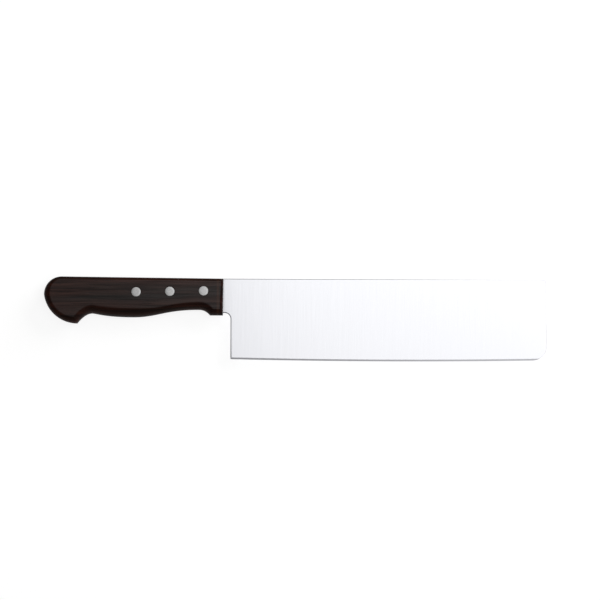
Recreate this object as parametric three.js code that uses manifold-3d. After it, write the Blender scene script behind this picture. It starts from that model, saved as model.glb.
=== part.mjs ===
// A cabbage knife: a tall, nearly straight blade on a full tang, between two wooden handle scales
// that are held by three two-part rivets.
//
// Millimetres. The knife lies on its left side: +X runs to the tip, +Y to the spine and +Z up through
// its thickness. While it is drawn, x = 0 is the front of the handle, y = 0 the spine and z = 0 the
// middle of the steel. At the end it is set down with the origin under the middle of the knife.
import * as THREE from "three";
import { mergeVertices } from "three/addons/utils/BufferGeometryUtils.js";
import Module from "manifold-3d";

// Steel plate
const STEEL_THICKNESS = 2; // spine and tang
const BLADE_LENGTH = 240; // heel to tip
const BLADE_HEIGHT = 61; // spine to edge at the heel
const EDGE_BELLY = 1.2; // how far the edge bows below a straight line from heel to tip
const TIP_RADIUS = 10.5; // lower corner of the tip
const TIP_SPINE_RADIUS = 2; // upper corner of the tip
const TIP_SETBACK = 0.9; // the tip leans back by this much at the spine
const NECK_LENGTH = 5.55; // handle front to heel
const NECK_DEPTH = 26; // spine to the underside of the neck
const CHOIL_RADIUS = 4.5; // hollow between neck and heel
const SHOULDER_SETBACK = 1; // step of the tang, behind the front of the scales

// Grind
const BEHIND_EDGE = 0.7; // thickness that the flanks taper to at the edge
const BEVEL_ANGLE = THREE.MathUtils.degToRad(14); // sharpened bevel on each side
const APEX_WIDTH = 0.06; // flat left on the cutting edge
const PLUNGE_START = 0.5; // handle front to where the flanks start to thin

// Handle outline
const HANDLE_LENGTH = 135.75;
const FRONT_HEIGHT = 27.95; // spine to the underside of the toe
const FRONT_LEAN = 0.35; // the toe's front corner lies behind the front of the back
const BACK_RISE = 1.25; // how far the back climbs from the spine to the butt
const BUTT_RADIUS = 13.6; // back to butt
const HOOK_TIP_REACH = 25.1; // butt to the hook's tip
const HOOK_TIP_DEPTH = 34.4; // spine to the hook's tip
const CREST_REACH = 36.6; // butt to the crest in front of the hook
const CREST_DEPTH = 26.85;
const BELLY_REACH = 68; // handle front to the lowest point of the belly
const BELLY_DEPTH = 29.6;
const RECESS_REACH = 18.2; // handle front to the top of the finger recess
const RECESS_DEPTH = 23.8;
const TOE_LENGTH = 10; // flat underside at the handle front

// How far each curve of the outline runs on level before it bends, as a share of the way between its ends
const HOOK_PULL = 0.47;
const CREST_PULL = 0.096;
const BELLY_REAR_PULL = 0.706;
const BELLY_FRONT_PULL = 0.361;
const RECESS_PULL = 0.522;
const TOE_PULL = 0.585;

// Scales
const SCALE_THICKNESS = 8;
const FRONT_ROUND = 2.5; // width of the rounded rim at each point of the outline
const FRONT_BACK_ROUND = 1.9;
const BACK_ROUND = 2;
const BUTT_ROUND = 4.9;
const HOOK_ROUND = 5.9;
const CREST_ROUND = 7.2;
const BELLY_ROUND = 7.9;
const WAIST_ROUND = 6;
const RECESS_ROUND = 6.8;
const TOE_ROUND = 5.6;
const WAIST_SHARE = 0.55; // how far the waist of the rim lies along the curve from belly to recess
const RIM_WALL = 0.4; // upright wall that is always left between the rim and the tang

// Rivets
const RIVET_COUNT = 3;
const RIVET_REACH = 14.8; // handle front to the front rivet
const RIVET_PITCH = 25.5;
const RIVET_DEPTH = 9.25; // spine to the front rivet
const RIVET_DROP = 0.45; // each rivet lies lower than the one before it
const HEAD_DIAMETER = 7.1;
const HEAD_THICKNESS = 2.2;
const SLEEVE_DIAMETER = 4.8;
const POST_DIAMETER = 3;
const RIVET_CLEARANCE = 0.05; // round each rivet piece, on the radius
const RIVET_END_GAP = 0.6; // left at the end of the sleeve and of the post

// Fineness
const ROUND_STEPS = 7; // rings of a scale's rounded rim
const LINE_STEPS = 6; // stations along each straight run of the handle's outline
const CURVE_STEPS = 12; // and along each curved one
const WAIST_STEPS = 6; // and on each side of the rim's waist
const ARC_STEPS = 10;
const EDGE_STEPS = 28;
const RIVET_FACETS = 32;
const CUT_MARGIN = 2; // how far a cutter reaches past what it cuts
const SAME_POINT = 1e-4;

const STEEL_HALF = STEEL_THICKNESS / 2;
const HANDLE_HALF = STEEL_HALF + SCALE_THICKNESS;
const HEEL_X = NECK_LENGTH;
const TIP_X = HEEL_X + BLADE_LENGTH;

const wasm = await Module();
wasm.setup();

const point = (x, y) => new THREE.Vector2(x, y);

/** A closed geometry as a solid that can be cut. */
function toSolid(geometry) {
  const bare = geometry.clone();
  bare.deleteAttribute("normal");
  bare.deleteAttribute("uv");
  const merged = mergeVertices(bare, SAME_POINT);
  return new wasm.Manifold(
    new wasm.Mesh({
      numProp: 3,
      vertProperties: merged.attributes.position.array,
      triVerts: new Uint32Array(merged.index.array),
    }),
  );
}

/** A solid as a geometry that can be drawn. */
function toGeometry(solid) {
  const mesh = solid.getMesh();
  const geometry = new THREE.BufferGeometry();
  geometry.setAttribute("position", new THREE.BufferAttribute(mesh.vertProperties, 3));
  geometry.setIndex(new THREE.BufferAttribute(mesh.triVerts, 1));
  geometry.computeVertexNormals();
  return geometry;
}

/** A closed body through flat-lying loops of equal count, lowest first, each counter-clockwise from above. */
function loft(loops) {
  const count = loops[0].length;
  const faces = [];
  for (let ring = 0; ring + 1 < loops.length; ring += 1) {
    for (let i = 0; i < count; i += 1) {
      const a = ring * count + i;
      const b = ring * count + ((i + 1) % count);
      faces.push(a, b, b + count, a, b + count, a + count);
    }
  }
  const capOf = (loop) => THREE.ShapeUtils.triangulateShape(loop.map((p) => point(p.x, p.y)), []);
  const top = (loops.length - 1) * count;
  capOf(loops[0]).forEach(([a, b, c]) => faces.push(c, b, a));
  capOf(loops.at(-1)).forEach(([a, b, c]) => faces.push(top + a, top + b, top + c));
  const geometry = new THREE.BufferGeometry().setFromPoints(loops.flat());
  geometry.setIndex(faces);
  return geometry;
}

/** Points of the arc that rounds a corner between two straight runs. */
function roundCorner(before, corner, after, radius) {
  const back = before.clone().sub(corner).normalize();
  const ahead = after.clone().sub(corner).normalize();
  const half = back.angleTo(ahead) / 2;
  const middle = back.clone().add(ahead).normalize();
  const centre = corner.clone().addScaledVector(middle, radius / Math.sin(half));
  const start = corner.clone().addScaledVector(back, radius / Math.tan(half)).sub(centre);
  const end = corner.clone().addScaledVector(ahead, radius / Math.tan(half)).sub(centre);
  const sweep = Math.sign(start.cross(end)) * start.angleTo(end);
  return Array.from({ length: ARC_STEPS + 1 }, (_, i) =>
    start.clone().rotateAround(point(0, 0), (sweep * i) / ARC_STEPS).add(centre),
  );
}

/** Height of the cutting edge at x: a shallow arc through heel and tip. */
function edgeY(x) {
  const radius = (BLADE_LENGTH ** 2 / 4 + EDGE_BELLY ** 2) / (2 * EDGE_BELLY);
  const across = x - (HEEL_X + TIP_X) / 2;
  return radius - BLADE_HEIGHT - EDGE_BELLY - Math.sqrt(radius ** 2 - across ** 2);
}

/** The handle's outline as stretches that meet end to end, counter-clockwise from the toe's front corner. */
function handleStretches() {
  const butt = -HANDLE_LENGTH;
  const toeFront = point(-FRONT_LEAN, -FRONT_HEIGHT);
  const backFront = point(0, 0);
  const backEnd = point(butt + BUTT_RADIUS, BACK_RISE);
  const buttEnd = point(butt, BACK_RISE - BUTT_RADIUS);
  const hookTip = point(butt + HOOK_TIP_REACH, -HOOK_TIP_DEPTH);
  const crest = point(butt + CREST_REACH, -CREST_DEPTH);
  const belly = point(-BELLY_REACH, -BELLY_DEPTH);
  const recess = point(-RECESS_REACH, -RECESS_DEPTH);
  const toe = point(-TOE_LENGTH, -FRONT_HEIGHT);
  const level = (from, to, share) => point(THREE.MathUtils.lerp(from.x, to.x, share), from.y);

  // The lower butt is an arc that reaches the hook's tip on level.
  const rise = buttEnd.y - hookTip.y;
  const lowerRadius = buttEnd.distanceToSquared(hookTip) / (2 * rise);
  const lowerCentre = point(hookTip.x, hookTip.y + lowerRadius);
  const straightDown = 1.5 * Math.PI;
  const lowerStart = straightDown - Math.acos(1 - rise / lowerRadius);

  const { LineCurve, EllipseCurve, QuadraticBezierCurve, CubicBezierCurve } = THREE;
  const front = new LineCurve(toeFront, backFront);
  const back = new LineCurve(backFront, backEnd);
  const upperButt = new EllipseCurve(
    backEnd.x, buttEnd.y, BUTT_RADIUS, BUTT_RADIUS, Math.PI / 2, Math.PI,
  );
  const lowerButt = new EllipseCurve(
    lowerCentre.x, lowerCentre.y, lowerRadius, lowerRadius, lowerStart, straightDown,
  );
  const hook = new QuadraticBezierCurve(hookTip, level(crest, hookTip, HOOK_PULL), crest);
  const rearBelly = new CubicBezierCurve(
    crest, level(crest, belly, CREST_PULL), level(belly, crest, BELLY_REAR_PULL), belly,
  );
  const frontBelly = new CubicBezierCurve(
    belly, level(belly, recess, BELLY_FRONT_PULL), level(recess, belly, RECESS_PULL), recess,
  );
  const toeThroat = new QuadraticBezierCurve(recess, level(recess, toe, TOE_PULL), toe);
  const underToe = new LineCurve(toe, toeFront);
  return [
    { name: "front", curve: front, steps: LINE_STEPS, round: [FRONT_ROUND, FRONT_BACK_ROUND] },
    { name: "back", curve: back, steps: LINE_STEPS, round: [FRONT_BACK_ROUND, BACK_ROUND] },
    { name: "upper_butt", curve: upperButt, steps: CURVE_STEPS, round: [BACK_ROUND, BUTT_ROUND] },
    { name: "lower_butt", curve: lowerButt, steps: CURVE_STEPS, round: [BUTT_ROUND, HOOK_ROUND] },
    { name: "hook", curve: hook, steps: CURVE_STEPS, round: [HOOK_ROUND, CREST_ROUND] },
    { name: "rear_belly", curve: rearBelly, steps: CURVE_STEPS, round: [CREST_ROUND, BELLY_ROUND] },
    {
      name: "front_belly",
      curve: frontBelly,
      span: [0, WAIST_SHARE],
      steps: WAIST_STEPS,
      round: [BELLY_ROUND, WAIST_ROUND],
    },
    {
      name: "waist",
      curve: frontBelly,
      span: [WAIST_SHARE, 1],
      steps: WAIST_STEPS,
      round: [WAIST_ROUND, RECESS_ROUND],
    },
    { name: "toe_throat", curve: toeThroat, steps: CURVE_STEPS, round: [RECESS_ROUND, TOE_ROUND] },
    { name: "under_toe", curve: underToe, steps: LINE_STEPS, round: [TOE_ROUND, TOE_ROUND] },
  ];
}

/** Points round the handle's outline, each with the inset to a scale's flat and the drop of its rim. */
function handleStations() {
  const { lerp, smoothstep } = THREE.MathUtils;
  const stretches = handleStretches();
  const along = ({ span = [0, 1] }, t) => lerp(span[0], span[1], t);
  const ahead = (stretch, t) => stretch.curve.getTangent(along(stretch, t));
  const inward = (stretch, t) => ahead(stretch, t).rotateAround(point(0, 0), Math.PI / 2);
  // At a corner the inset keeps each run's own rim width from that run.
  const mitre = (ended, begun) => {
    const one = inward(ended, 1);
    const other = inward(begun, 0);
    const inset = one.clone().add(other).multiplyScalar(begun.round[0] / (1 + one.dot(other)));
    const wider = ended.round[1] - begun.round[0];
    const slide = ahead(begun, 0);
    return wider === 0 ? inset : inset.addScaledVector(slide, wider / one.dot(slide));
  };
  return stretches.flatMap((stretch, k) => {
    const { curve, steps, round } = stretch;
    const before = stretches.at(k - 1);
    const startInset = mitre(before, stretch);
    const endInset = mitre(stretch, stretches[(k + 1) % stretches.length]);
    startInset.addScaledVector(inward(stretch, 0), -round[0]);
    endInset.addScaledVector(inward(stretch, 1), -round[1]);
    return Array.from({ length: steps }, (_, i) => {
      const t = i / steps;
      const width = lerp(round[0], round[1], smoothstep(t, 0, 1));
      const inset = inward(stretch, t).multiplyScalar(width);
      inset.addScaledVector(startInset, (1 - t) ** 2).addScaledVector(endInset, t ** 2);
      const deepest = i === 0 ? Math.max(width, before.round[1]) : width;
      const drop = Math.min(deepest, SCALE_THICKNESS - RIM_WALL);
      return { at: curve.getPoint(along(stretch, t)), inset, drop, stretch: stretch.name };
    });
  });
}

/** Centres of the rivets, front to rear. */
function rivetPlaces() {
  return Array.from({ length: RIVET_COUNT }, (_, i) =>
    point(-RIVET_REACH - i * RIVET_PITCH, -RIVET_DEPTH - i * RIVET_DROP),
  );
}

/** The steel's outline: the tang within the scales, then neck, choil, heel, edge, tip and spine. */
function steelOutline(stations) {
  const tang = stations.filter((s) => !["front", "under_toe"].includes(s.stretch)).map((s) => s.at);
  const toe = stations.find((s) => s.stretch === "under_toe").at;
  const shoulder = [point(-SHOULDER_SETBACK, -FRONT_HEIGHT), point(-SHOULDER_SETBACK, -NECK_DEPTH)];
  const heel = point(HEEL_X, edgeY(HEEL_X));
  const choil = roundCorner(
    shoulder[1], point(HEEL_X, -NECK_DEPTH), heel, Math.min(CHOIL_RADIUS, NECK_LENGTH),
  );
  const edgeEnd = TIP_X - TIP_RADIUS;
  const edge = Array.from({ length: EDGE_STEPS }, (_, i) => {
    const x = THREE.MathUtils.lerp(HEEL_X, edgeEnd, i / EDGE_STEPS);
    return point(x, edgeY(x));
  });
  const tip = point(TIP_X, edgeY(TIP_X));
  const tipSpine = point(TIP_X - TIP_SETBACK, 0);
  const lowerTip = roundCorner(point(edgeEnd, edgeY(edgeEnd)), tip, tipSpine, TIP_RADIUS);
  const upperTip = roundCorner(tip, tipSpine, point(0, 0), TIP_SPINE_RADIUS);
  return [...tang, toe, ...shoulder, ...choil, ...edge, ...lowerTip, ...upperTip];
}

/** What grinding takes off one flank, so that it tapers from spine to edge and fades out at the neck. */
function flankCutter(side) {
  const taper = (STEEL_HALF - BEHIND_EDGE / 2) / BLADE_HEIGHT;
  const deepest = BLADE_HEIGHT + EDGE_BELLY + CUT_MARGIN;
  const right = TIP_X + CUT_MARGIN;
  const loopAt = (depth) => {
    const z = side * (STEEL_HALF - taper * depth);
    const left = THREE.MathUtils.lerp(PLUNGE_START, HEEL_X, depth / deepest);
    const low = -deepest - CUT_MARGIN;
    const corners = [[left, low], [right, low], [right, -depth], [left, -depth]];
    return corners.map(([x, y]) => new THREE.Vector3(x, y, z));
  };
  const loops = [loopAt(deepest), loopAt(-CUT_MARGIN)];
  return toSolid(loft(side > 0 ? loops : loops.reverse()));
}

/** What sharpening takes off one side of the edge. */
function bevelCutter(side) {
  const apex = APEX_WIDTH / 2;
  const left = HEEL_X - CUT_MARGIN;
  const right = TIP_X + CUT_MARGIN;
  const loopAt = (height) => {
    const raise = (height - apex) / Math.tan(BEVEL_ANGLE);
    const low = -BLADE_HEIGHT - EDGE_BELLY - CUT_MARGIN;
    const arc = Array.from({ length: EDGE_STEPS + 1 }, (_, i) => {
      const x = THREE.MathUtils.lerp(right, left, i / EDGE_STEPS);
      return point(x, edgeY(x) + raise);
    });
    const loop = [point(left, low), point(right, low), ...arc];
    return loop.map(({ x, y }) => new THREE.Vector3(x, y, side * height));
  };
  const loops = [loopAt(apex), loopAt(STEEL_HALF + CUT_MARGIN)];
  return toSolid(loft(side > 0 ? loops : loops.reverse()));
}

/** Blade and tang: one plate, holed for the rivets, then ground and sharpened on both sides. */
function bladeGeometry(stations) {
  const shape = new THREE.Shape(steelOutline(stations));
  const holeRadius = SLEEVE_DIAMETER / 2 + RIVET_CLEARANCE;
  rivetPlaces().forEach(({ x, y }) => {
    shape.holes.push(new THREE.Path().absarc(x, y, holeRadius, 0, 2 * Math.PI));
  });
  const plate = new THREE.ExtrudeGeometry(shape, {
    depth: STEEL_THICKNESS,
    bevelEnabled: false,
    curveSegments: RIVET_FACETS / 2,
  }).translate(0, 0, -STEEL_HALF);
  let steel = toSolid(plate);
  [1, -1].forEach((side) => {
    steel = steel.subtract(flankCutter(side)).subtract(bevelCutter(side));
  });
  return toGeometry(steel);
}

/** A body turned about a rivet's axis, along Z. The profile runs up from the axis and back to it. */
function turned(profile) {
  const points = profile.map(([radius, z]) => point(radius, z));
  return new THREE.LatheGeometry(points, RIVET_FACETS).rotateX(Math.PI / 2);
}

/** The right scale: a slab on the tang with a rounded rim, counterbored for the rivets' heads. */
function scaleGeometry(stations) {
  const loopAt = (share, heightAt) =>
    stations.map((station) => {
      const { x, y } = station.at.clone().addScaledVector(station.inset, share);
      return new THREE.Vector3(x, y, heightAt(station));
    });
  const loops = [loopAt(0, () => STEEL_HALF)];
  for (let step = 0; step <= ROUND_STEPS; step += 1) {
    const angle = (step / ROUND_STEPS) * (Math.PI / 2);
    loops.push(loopAt(1 - Math.cos(angle), ({ drop }) => HANDLE_HALF - drop * (1 - Math.sin(angle))));
  }
  const hole = SLEEVE_DIAMETER / 2 + RIVET_CLEARANCE;
  const counterbore = HEAD_DIAMETER / 2 + RIVET_CLEARANCE;
  const seat = HANDLE_HALF - HEAD_THICKNESS;
  const drill = turned([
    [0, STEEL_HALF - CUT_MARGIN],
    [hole, STEEL_HALF - CUT_MARGIN],
    [hole, seat],
    [counterbore, seat],
    [counterbore, HANDLE_HALF + CUT_MARGIN],
    [0, HANDLE_HALF + CUT_MARGIN],
  ]);
  let scale = toSolid(loft(loops));
  rivetPlaces().forEach(({ x, y }) => {
    scale = scale.subtract(toSolid(drill.clone().translate(x, y, 0)));
  });
  return toGeometry(scale);
}

/** The rivet half that passes through the tang: a head with a hollow shank, headed on the left side. */
function sleeveGeometry() {
  const head = HEAD_DIAMETER / 2;
  const shank = SLEEVE_DIAMETER / 2;
  const bore = POST_DIAMETER / 2 + RIVET_CLEARANCE;
  const seat = HEAD_THICKNESS - HANDLE_HALF;
  const end = -seat - RIVET_END_GAP;
  return turned([
    [0, -HANDLE_HALF],
    [head, -HANDLE_HALF],
    [head, seat],
    [shank, seat],
    [shank, end],
    [bore, end],
    [bore, seat],
    [0, seat],
  ]);
}

/** The rivet half that is driven into the sleeve from the right side. */
function postGeometry() {
  const head = HEAD_DIAMETER / 2;
  const shank = POST_DIAMETER / 2;
  const seat = HANDLE_HALF - HEAD_THICKNESS;
  const end = RIVET_END_GAP - seat;
  return turned([
    [0, end],
    [shank, end],
    [shank, seat],
    [head, seat],
    [head, HANDLE_HALF],
    [0, HANDLE_HALF],
  ]);
}

const steel = new THREE.MeshStandardMaterial({ color: 0xdfe1e8, roughness: 0.22, metalness: 1 });
const wood = new THREE.MeshStandardMaterial({ color: 0x2e2524, roughness: 0.5, metalness: 0 });
const rivetMetal = new THREE.MeshStandardMaterial({ color: 0xa9a9a9, roughness: 0.4, metalness: 1 });

/** A named mesh at its place across the knife. */
function piece(name, geometry, material, { x, y } = point(0, 0)) {
  const mesh = new THREE.Mesh(geometry, material.clone());
  mesh.name = name;
  mesh.position.set(x, y, 0);
  return mesh;
}

const stations = handleStations();
const knife = new THREE.Group();
knife.add(piece("blade", bladeGeometry(stations), steel));
const rightScale = piece("right_scale", scaleGeometry(stations), wood);
const leftScale = piece("left_scale", rightScale.geometry, wood);
leftScale.scale.z = -1;
knife.add(rightScale, leftScale);
rivetPlaces().forEach((place, i) => {
  const name = ["front", "middle", "rear"][i] ?? `extra_${i}`;
  knife.add(piece(`${name}_rivet_sleeve`, sleeveGeometry(), rivetMetal, place));
  knife.add(piece(`${name}_rivet_post`, postGeometry(), rivetMetal, place));
});

const box = new THREE.Box3().setFromObject(knife);
const middle = box.getCenter(new THREE.Vector3());
knife.position.set(-middle.x, -middle.y, -box.min.z);

const part = new THREE.Group();
part.add(knife);
export default part;
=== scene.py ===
"""The looks of a cabbage knife: ground steel, dark wooden scales and flush rivets, in a plain studio.

Metres. The knife lies on its left side, with +X to the tip, +Y to the spine and +Z up. Outlines are drawn
from the knife's own origin, where the front of the handle, the spine and the middle of the steel meet.
"""

import logging
import math
from collections.abc import Callable, Iterator, Mapping, Sequence
from contextlib import contextmanager
from dataclasses import dataclass, field
from enum import Enum, IntEnum

import bmesh
import bpy
from bpy.types import Material, Node, NodeSocket, NodeTree, Object
from mathutils import Matrix, Vector


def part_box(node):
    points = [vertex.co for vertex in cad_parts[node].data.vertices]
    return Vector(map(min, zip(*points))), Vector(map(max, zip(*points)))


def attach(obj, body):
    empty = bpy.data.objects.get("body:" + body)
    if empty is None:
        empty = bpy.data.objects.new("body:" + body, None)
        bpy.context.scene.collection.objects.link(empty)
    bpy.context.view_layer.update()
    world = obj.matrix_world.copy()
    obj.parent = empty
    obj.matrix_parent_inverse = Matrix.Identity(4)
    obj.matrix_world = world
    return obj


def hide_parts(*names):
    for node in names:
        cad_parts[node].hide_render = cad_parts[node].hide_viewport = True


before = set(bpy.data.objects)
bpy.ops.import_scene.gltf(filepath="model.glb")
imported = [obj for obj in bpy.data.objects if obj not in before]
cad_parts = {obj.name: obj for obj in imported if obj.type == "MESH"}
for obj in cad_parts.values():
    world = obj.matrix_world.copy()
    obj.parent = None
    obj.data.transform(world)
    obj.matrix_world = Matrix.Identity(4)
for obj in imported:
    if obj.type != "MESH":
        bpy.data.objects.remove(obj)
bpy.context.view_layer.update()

LOG = logging.getLogger("cabbage_knife")
BODY = "root"
RIM = "rim"  # vertex attribute: 1 on the outermost wall of a rim, 0 on a flat
STATION = "station"  # vertex attribute: the vertex's number in its ring
TANGENT_STEP = 1e-4  # share of a run over which its direction is taken

Pair = tuple[float, float]
Triple = tuple[float, float, float]
Curve = Callable[[float], Vector]
Run = tuple[str, Curve, int, float]
Inputs = Mapping[str | int, object]


class Slot(Enum):
    """The record's material slots."""

    STEEL = "steel"
    WOOD = "wood"
    RIVET = "rivet"


class SteelFace(IntEnum):
    """The kinds of face on the blade, numbered in the order of its materials."""

    FLANK = 0
    EDGE = 1
    OUTLINE = 2


class Ease(Enum):
    """How a value goes from one end of a range to the other."""

    STEADY = "LINEAR"
    SOFT = "SMOOTHSTEP"


# Outlines


def softened(t: float) -> float:
    """A share that leaves 0 and reaches 1 softly."""
    return t * t * (3 - 2 * t)


def quarter_round(steps: int) -> list[Pair]:
    """Shares of the way in and of the drop that is left, from a rounded edge's wall to its flat."""
    angles = [math.pi / 2 * step / steps for step in range(steps + 1)]
    return [(1 - math.cos(angle), 1 - math.sin(angle)) for angle in angles]


def rim_shares(steps: int) -> list[float]:
    """Even shares of a rim, from its wall to its flat."""
    return [1 - step / steps for step in range(steps + 1)]


def line(start: Vector, end: Vector) -> Curve:
    """A straight run between two points."""
    return lambda t: start.lerp(end, t)


def arc(centre: Vector, radius: float, start: float, end: float) -> Curve:
    """A circular run.

    Args:
        centre: Middle of the circle.
        radius: Its radius.
        start: Angle at which the run begins, counter-clockwise from +X.
        end: Angle at which it ends.

    Returns:
        The run as a function of a share from 0 to 1.
    """

    def at(t: float) -> Vector:
        """The point at a share of the run."""
        angle = start + (end - start) * t
        return centre + radius * Vector((math.cos(angle), math.sin(angle)))

    return at


def bezier(*points: Vector) -> Curve:
    """A curved run.

    Args:
        points: Where it starts, the points that it is drawn towards, and where it ends.

    Returns:
        The run as a function of a share from 0 to 1.
    """
    if len(points) == 1:
        return lambda t: points[0]
    without_last = bezier(*points[:-1])
    without_first = bezier(*points[1:])
    return lambda t: without_last(t).lerp(without_first(t), t)


def part_of(curve: Curve, start: float, end: float) -> Curve:
    """The piece of a run between two shares of it."""
    return lambda t: curve(start + (end - start) * t)


def rounded_corner(before: Vector, corner: Vector, after: Vector, radius: float) -> Curve:
    """The circular run that rounds a corner.

    Args:
        before: A point on the straight run that comes to the corner.
        corner: The corner itself.
        after: A point on the straight run that leaves it.
        radius: Radius of the rounding.

    Returns:
        The run as a function of a share from 0 to 1.
    """
    back = (before - corner).normalized()
    ahead = (after - corner).normalized()
    half = back.angle(ahead) / 2
    centre = corner + (back + ahead).normalized() * (radius / math.sin(half))
    start = corner + back * (radius / math.tan(half)) - centre
    end = corner + ahead * (radius / math.tan(half)) - centre
    first = math.atan2(start.y, start.x)
    turn = math.atan2(start.x * end.y - start.y * end.x, start.dot(end))
    return arc(centre, radius, first, first + turn)


@dataclass(frozen=True)
class Stretch:
    """One run of an outline, with the width of the rounded rim at its two ends."""

    name: str
    curve: Curve
    steps: int
    rim: Pair

    def inward(self, t: float) -> Vector:
        """The direction into the outline, square to the run."""
        ahead = self.curve(t + TANGENT_STEP) - self.curve(t - TANGENT_STEP)
        return Vector((-ahead.y, ahead.x)).normalized()

    def rim_at(self, t: float) -> float:
        """The rim's width, which goes softly from one end's to the other's."""
        return self.rim[0] + (self.rim[1] - self.rim[0]) * softened(t)


@dataclass(frozen=True)
class Station:
    """One point of an outline, with the step in to where its rim ends, and that rim's width and drop."""

    at: Vector
    inset: Vector
    width: float
    drop: float
    stretch: str


def chained(runs: Sequence[Run], last_rim: float) -> list[Stretch]:
    """Join runs so that each one's rim ends as wide as the next one's begins.

    Args:
        runs: Name, curve, steps and the rim's width at the start of each run.
        last_rim: The rim's width at the end of the last run.

    Returns:
        The stretches, in the same order.
    """
    ends = [run[-1] for run in runs[1:]] + [last_rim]
    return [Stretch(name, curve, steps, (rim, end)) for (name, curve, steps, rim), end in zip(runs, ends)]


def mitre(ended: Stretch, begun: Stretch) -> Vector:
    """The step in from the corner between two runs.

    Args:
        ended: The run that ends at the corner.
        begun: The run that begins there.

    Returns:
        The step that keeps each run's own rim width from that run.
    """
    one = ended.inward(1)
    other = begun.inward(0)
    step = (one + other) * (begun.rim[0] / (1 + one.dot(other)))
    wider = ended.rim[1] - begun.rim[0]
    if wider:
        slide = Vector((other.y, -other.x))
        step += slide * (wider / one.dot(slide))
    return step


def stations_along(stretches: Sequence[Stretch]) -> list[Station]:
    """Walk round a closed outline.

    Args:
        stretches: The outline's runs, end to end and counter-clockwise.

    Returns:
        The outline's points in order, each with its step in.
    """
    walked = []
    for k, stretch in enumerate(stretches):
        before = stretches[k - 1]
        following = stretches[(k + 1) % len(stretches)]
        start_step = mitre(before, stretch) - stretch.inward(0) * stretch.rim[0]
        end_step = mitre(stretch, following) - stretch.inward(1) * stretch.rim[1]
        for i in range(stretch.steps):
            t = i / stretch.steps
            width = stretch.rim_at(t)
            drop = width if i else max(width, before.rim[1])
            inset = stretch.inward(t) * width + start_step * (1 - t) ** 2 + end_step * t**2
            walked.append(Station(stretch.curve(t), inset, width, drop, stretch.name))
    return walked


# Modelling


def deselect_all() -> None:
    """Leave nothing selected, so that an operator acts only on what is picked next."""
    bpy.ops.object.select_all(action="DESELECT")


def pick(piece: Object) -> None:
    """Select one object alone and make it the active one.

    Args:
        piece: The object.
    """
    deselect_all()
    piece.select_set(True)
    bpy.context.view_layer.objects.active = piece


@contextmanager
def editing(piece: Object) -> Iterator[None]:
    """Hold one object in edit mode, at first with its whole mesh selected.

    Args:
        piece: The object.

    Yields:
        Nothing. The object is back in object mode afterwards.
    """
    pick(piece)
    bpy.ops.object.mode_set(mode="EDIT")
    bpy.ops.mesh.select_all(action="SELECT")
    yield
    bpy.ops.object.mode_set(mode="OBJECT")


def rename(piece: Object, name: str) -> None:
    """Give an object and its mesh a name."""
    piece.name = name
    piece.data.name = name


def extruded_rings(name: str, rings: Sequence[Sequence[Vector]], rims: Sequence[float]) -> Object:
    """A closed body that starts as a disc and is extruded from ring to ring.

    Args:
        name: The body's name.
        rings: Rings of equal count, counter-clockwise from above and lowest first.
        rims: How far each ring lies on the rim: 1 on the outermost wall and 0 on a flat.

    Returns:
        The body, with its rim shares kept in a vertex attribute.
    """
    deselect_all()
    bpy.ops.mesh.primitive_circle_add(vertices=len(rings[0]), fill_type="NGON")
    body = bpy.context.object
    rename(body, name)
    with editing(body):
        mesh = bmesh.from_edit_mesh(body.data)
        number = mesh.verts.layers.int.new(STATION)
        share = mesh.verts.layers.float.new(RIM)
        for vertex in mesh.verts:
            vertex[number] = vertex.index
        for level, ring in enumerate(rings):
            if level:
                bpy.ops.mesh.extrude_region_move()
            for vertex in mesh.verts:
                if vertex.select:
                    vertex.co = ring[vertex[number]]
                    vertex[share] = rims[level]
            bmesh.update_edit_mesh(body.data)
        bpy.ops.mesh.select_all(action="SELECT")
        bpy.ops.mesh.normals_make_consistent(inside=False)
    return body


def turned(
    name: str, profile: Sequence[Pair], rims: Sequence[float], centre: Vector, facets: int
) -> Object:
    """A body turned about an axis along Z.

    Args:
        name: The body's name.
        profile: Radius and height of each ring, lowest first.
        rims: The rim share of each ring.
        centre: A point on the axis, from which the heights count.
        facets: Sides of the body.

    Returns:
        The body.
    """
    angles = [2 * math.pi * i / facets for i in range(facets)]
    rings = [
        [centre + Vector((radius * math.cos(a), radius * math.sin(a), height)) for a in angles]
        for radius, height in profile
    ]
    return extruded_rings(name, rings, rims)


def copied(piece: Object, name: str, move: Vector) -> Object:
    """A copy with a mesh of its own.

    Args:
        piece: What is copied.
        name: The copy's name.
        move: How far the copy lies from it.

    Returns:
        The copy, with its place in its mesh.
    """
    pick(piece)
    bpy.ops.object.duplicate()
    twin = bpy.context.object
    rename(twin, name)
    with editing(twin):
        bpy.ops.transform.translate(value=move)
    return twin


def mirrored(piece: Object, name: str, middle: Vector) -> Object:
    """A copy that is turned over through the middle of the steel.

    Args:
        piece: What is copied.
        name: The copy's name.
        middle: A point in the mirror's plane, which is square to Z.

    Returns:
        The mirrored copy, with its faces outwards.
    """
    twin = copied(piece, name, Vector((0, 0, 0)))
    with editing(twin):
        bpy.ops.transform.resize(value=(1, 1, -1), center_override=middle)
        bpy.ops.mesh.normals_make_consistent(inside=False)
    return twin


def drill(piece: Object, bit: Object) -> None:
    """Cut a body's shape out of a piece, then throw that body away.

    Args:
        piece: What is cut.
        bit: The body that cuts it.
    """
    pick(piece)
    bpy.ops.object.modifier_add(type="BOOLEAN")
    cut = piece.modifiers[-1]
    cut.operation = "DIFFERENCE"
    cut.solver = "EXACT"
    cut.object = bit
    bpy.ops.object.modifier_apply(modifier=cut.name)
    bpy.data.objects.remove(bit)


def smooth(piece: Object, angle: float) -> None:
    """Shade a piece smooth, apart from edges sharper than an angle."""
    pick(piece)
    bpy.ops.object.shade_smooth_by_angle(angle=angle)


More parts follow.
